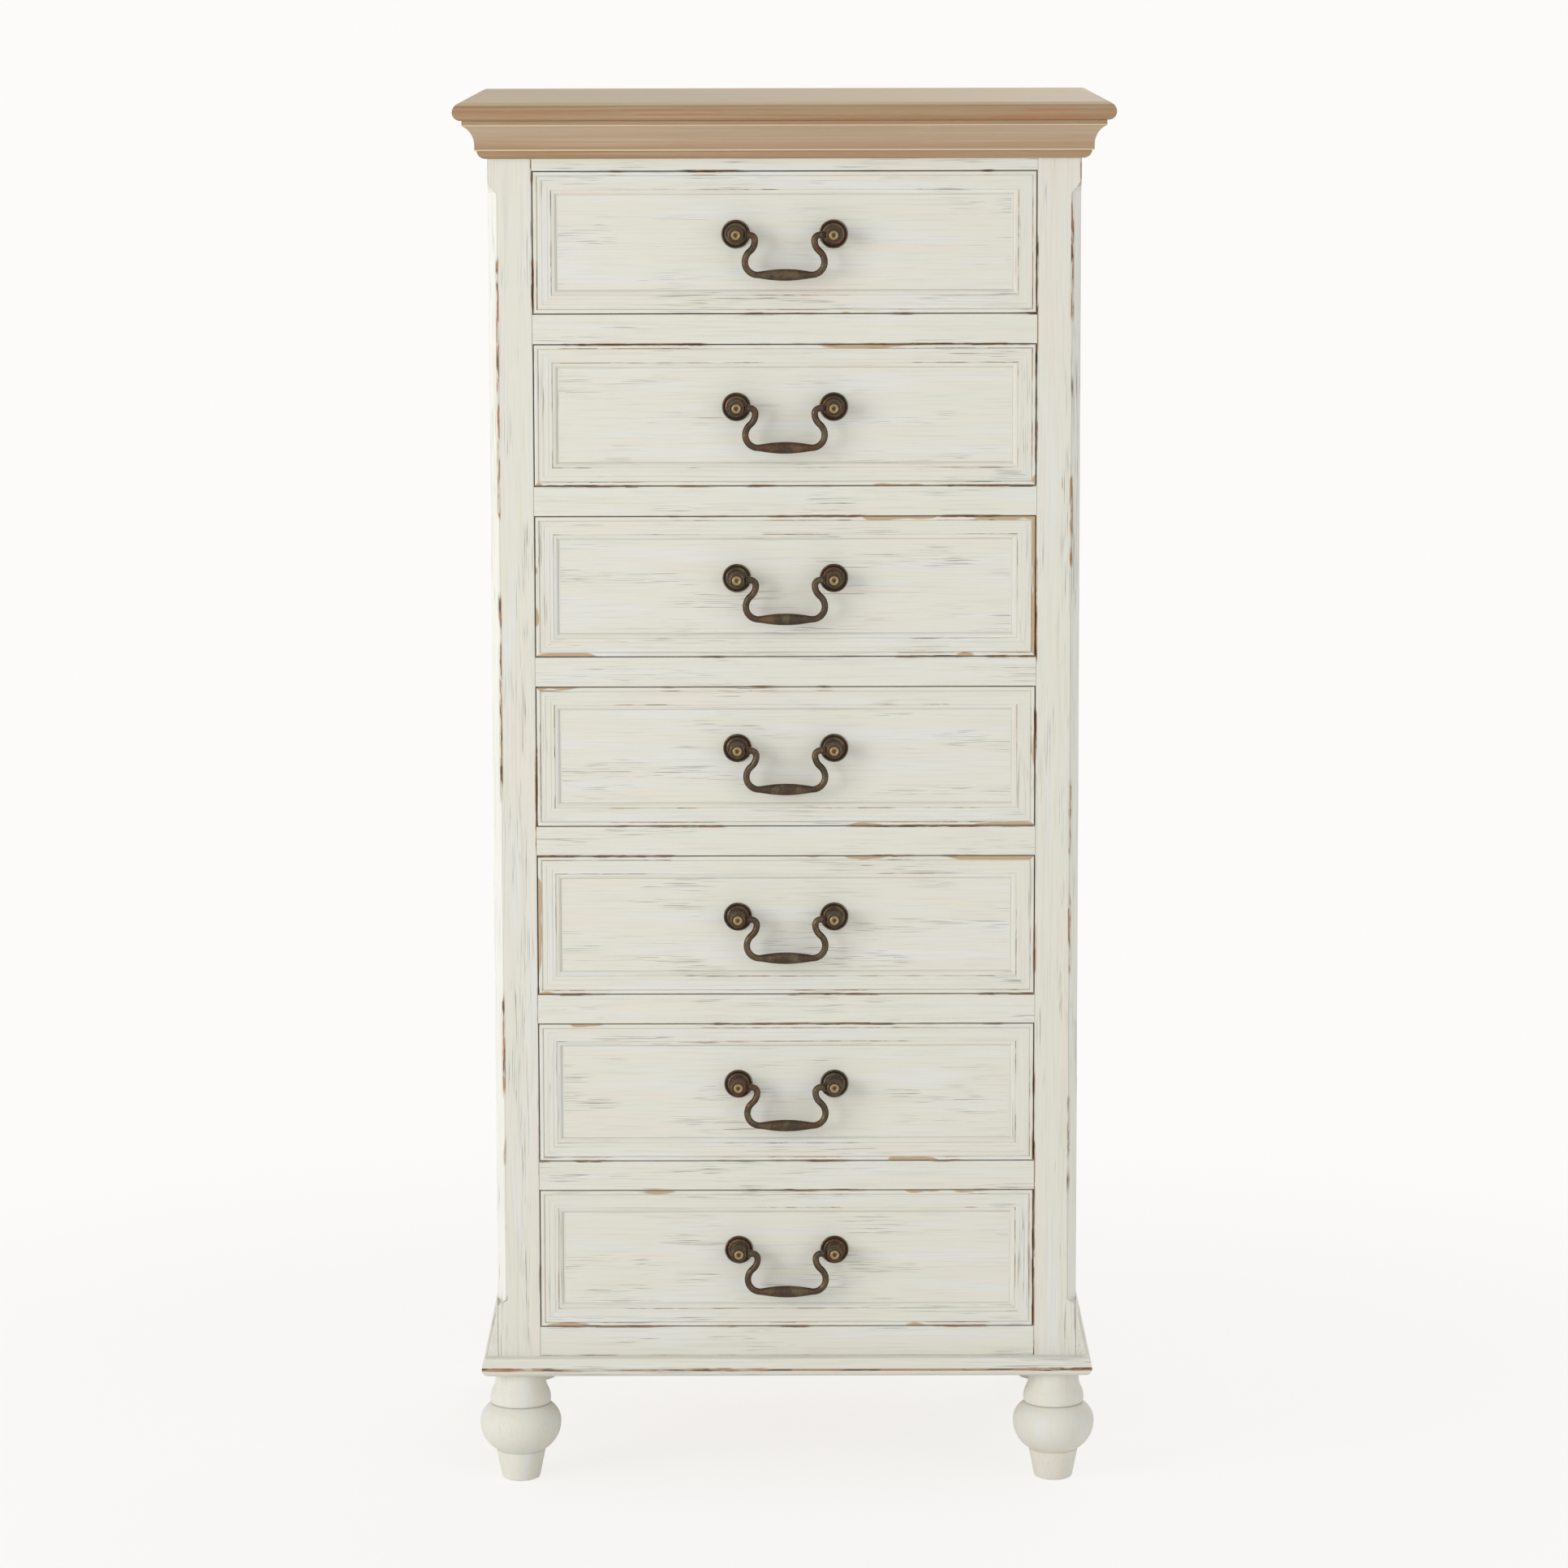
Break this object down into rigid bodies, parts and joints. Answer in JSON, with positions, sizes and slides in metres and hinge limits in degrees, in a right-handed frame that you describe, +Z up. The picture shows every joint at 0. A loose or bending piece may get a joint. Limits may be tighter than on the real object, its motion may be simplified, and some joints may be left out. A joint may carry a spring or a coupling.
{
  "type": "tallboy",
  "caption": "Tall narrow chest of drawers with a moulded wooden top, chamfered corner posts, turned feet and swinging bail handles.",
  "frame": {"origin": "on the floor under the middle of the chest's bounding box", "axes": "+Z up, -Y out of the drawer fronts, +X to the right of someone who faces the drawers"},
  "size_m": [0.6, 0.463, 1.287],
  "materials": {
    "painted_wood": "chalky off-white paint, rubbed through at the edges",
    "top_wood": "limed and waxed, matt",
    "raw_wood": "bare",
    "aged_brass": "darkened, rubbed bright on raised parts",
    "bolt_steel": "plain"
  },
  "bodies": {
    "carcass": {"top_board": "top_wood", "cornice_front": "top_wood", "cornice_left": "top_wood", "cornice_right": "top_wood", "base_moulding_front": "painted_wood", "base_moulding_left": "painted_wood", "base_moulding_right": "painted_wood", "bottom_board": "raw_wood", "foot_front_left": "painted_wood", "foot_front_right": "painted_wood", "foot_rear_left": "painted_wood", "foot_rear_right": "painted_wood", "foot_bolts": "bolt_steel", "side_panel_left": "painted_wood", "side_panel_right": "painted_wood", "front_post_left": "painted_wood", "front_post_right": "painted_wood", "rear_post_left": "painted_wood", "rear_post_right": "painted_wood", "side_top_rail_left": "painted_wood", "side_top_rail_right": "painted_wood", "side_bottom_rail_left": "painted_wood", "side_bottom_rail_right": "painted_wood", "side_cove_left": "painted_wood", "side_cove_right": "painted_wood", "back_panel": "raw_wood", "back_rails": "raw_wood", "top_front_rail": "painted_wood", "bottom_front_rail": "painted_wood", "drawer_dividers": "painted_wood", "drawer_runners": "raw_wood", "drawer_stops": "raw_wood"},
    "drawer_1": {"drawer_front_1": "painted_wood", "drawer_box_1": "raw_wood", "handle_mounts_1": "aged_brass"},
    "bail_1": {"bail_1": "aged_brass"},
    "drawer_2": {"drawer_front_2": "painted_wood", "drawer_box_2": "raw_wood", "handle_mounts_2": "aged_brass"},
    "bail_2": {"bail_2": "aged_brass"},
    "drawer_3": {"drawer_front_3": "painted_wood", "drawer_box_3": "raw_wood", "handle_mounts_3": "aged_brass"},
    "bail_3": {"bail_3": "aged_brass"},
    "drawer_4": {"drawer_front_4": "painted_wood", "drawer_box_4": "raw_wood", "handle_mounts_4": "aged_brass"},
    "bail_4": {"bail_4": "aged_brass"},
    "drawer_5": {"drawer_front_5": "painted_wood", "drawer_box_5": "raw_wood", "handle_mounts_5": "aged_brass"},
    "bail_5": {"bail_5": "aged_brass"},
    "drawer_6": {"drawer_front_6": "painted_wood", "drawer_box_6": "raw_wood", "handle_mounts_6": "aged_brass"},
    "bail_6": {"bail_6": "aged_brass"},
    "drawer_7": {"drawer_front_7": "painted_wood", "drawer_box_7": "raw_wood", "handle_mounts_7": "aged_brass"},
    "bail_7": {"bail_7": "aged_brass"}
  },
  "joints": [
    {"name": "drawer_1_slide", "type": "slide", "parent": "carcass", "child": "drawer_1", "axis": [0, -1, 0], "range_m": [0, 0.25]},
    {"name": "bail_1_swing", "type": "hinge", "parent": "drawer_1", "child": "bail_1", "pos_m": [0, -0.2145, 1.16675], "axis": [-1, 0, 0], "range_deg": [-18, 195]},
    {"name": "drawer_2_slide", "type": "slide", "parent": "carcass", "child": "drawer_2", "axis": [0, -1, 0], "range_m": [0, 0.25]},
    {"name": "bail_2_swing", "type": "hinge", "parent": "drawer_2", "child": "bail_2", "pos_m": [0, -0.2145, 1.00925], "axis": [-1, 0, 0], "range_deg": [-18, 195]},
    {"name": "drawer_3_slide", "type": "slide", "parent": "carcass", "child": "drawer_3", "axis": [0, -1, 0], "range_m": [0, 0.25]},
    {"name": "bail_3_swing", "type": "hinge", "parent": "drawer_3", "child": "bail_3", "pos_m": [0, -0.2145, 0.85175], "axis": [-1, 0, 0], "range_deg": [-18, 195]},
    {"name": "drawer_4_slide", "type": "slide", "parent": "carcass", "child": "drawer_4", "axis": [0, -1, 0], "range_m": [0, 0.25]},
    {"name": "bail_4_swing", "type": "hinge", "parent": "drawer_4", "child": "bail_4", "pos_m": [0, -0.2145, 0.69425], "axis": [-1, 0, 0], "range_deg": [-18, 195]},
    {"name": "drawer_5_slide", "type": "slide", "parent": "carcass", "child": "drawer_5", "axis": [0, -1, 0], "range_m": [0, 0.25]},
    {"name": "bail_5_swing", "type": "hinge", "parent": "drawer_5", "child": "bail_5", "pos_m": [0, -0.2145, 0.53675], "axis": [-1, 0, 0], "range_deg": [-18, 195]},
    {"name": "drawer_6_slide", "type": "slide", "parent": "carcass", "child": "drawer_6", "axis": [0, -1, 0], "range_m": [0, 0.25]},
    {"name": "bail_6_swing", "type": "hinge", "parent": "drawer_6", "child": "bail_6", "pos_m": [0, -0.2145, 0.37925], "axis": [-1, 0, 0], "range_deg": [-18, 195]},
    {"name": "drawer_7_slide", "type": "slide", "parent": "carcass", "child": "drawer_7", "axis": [0, -1, 0], "range_m": [0, 0.25]},
    {"name": "bail_7_swing", "type": "hinge", "parent": "drawer_7", "child": "bail_7", "pos_m": [0, -0.2145, 0.22175], "axis": [-1, 0, 0], "range_deg": [-18, 195]}
  ]
}
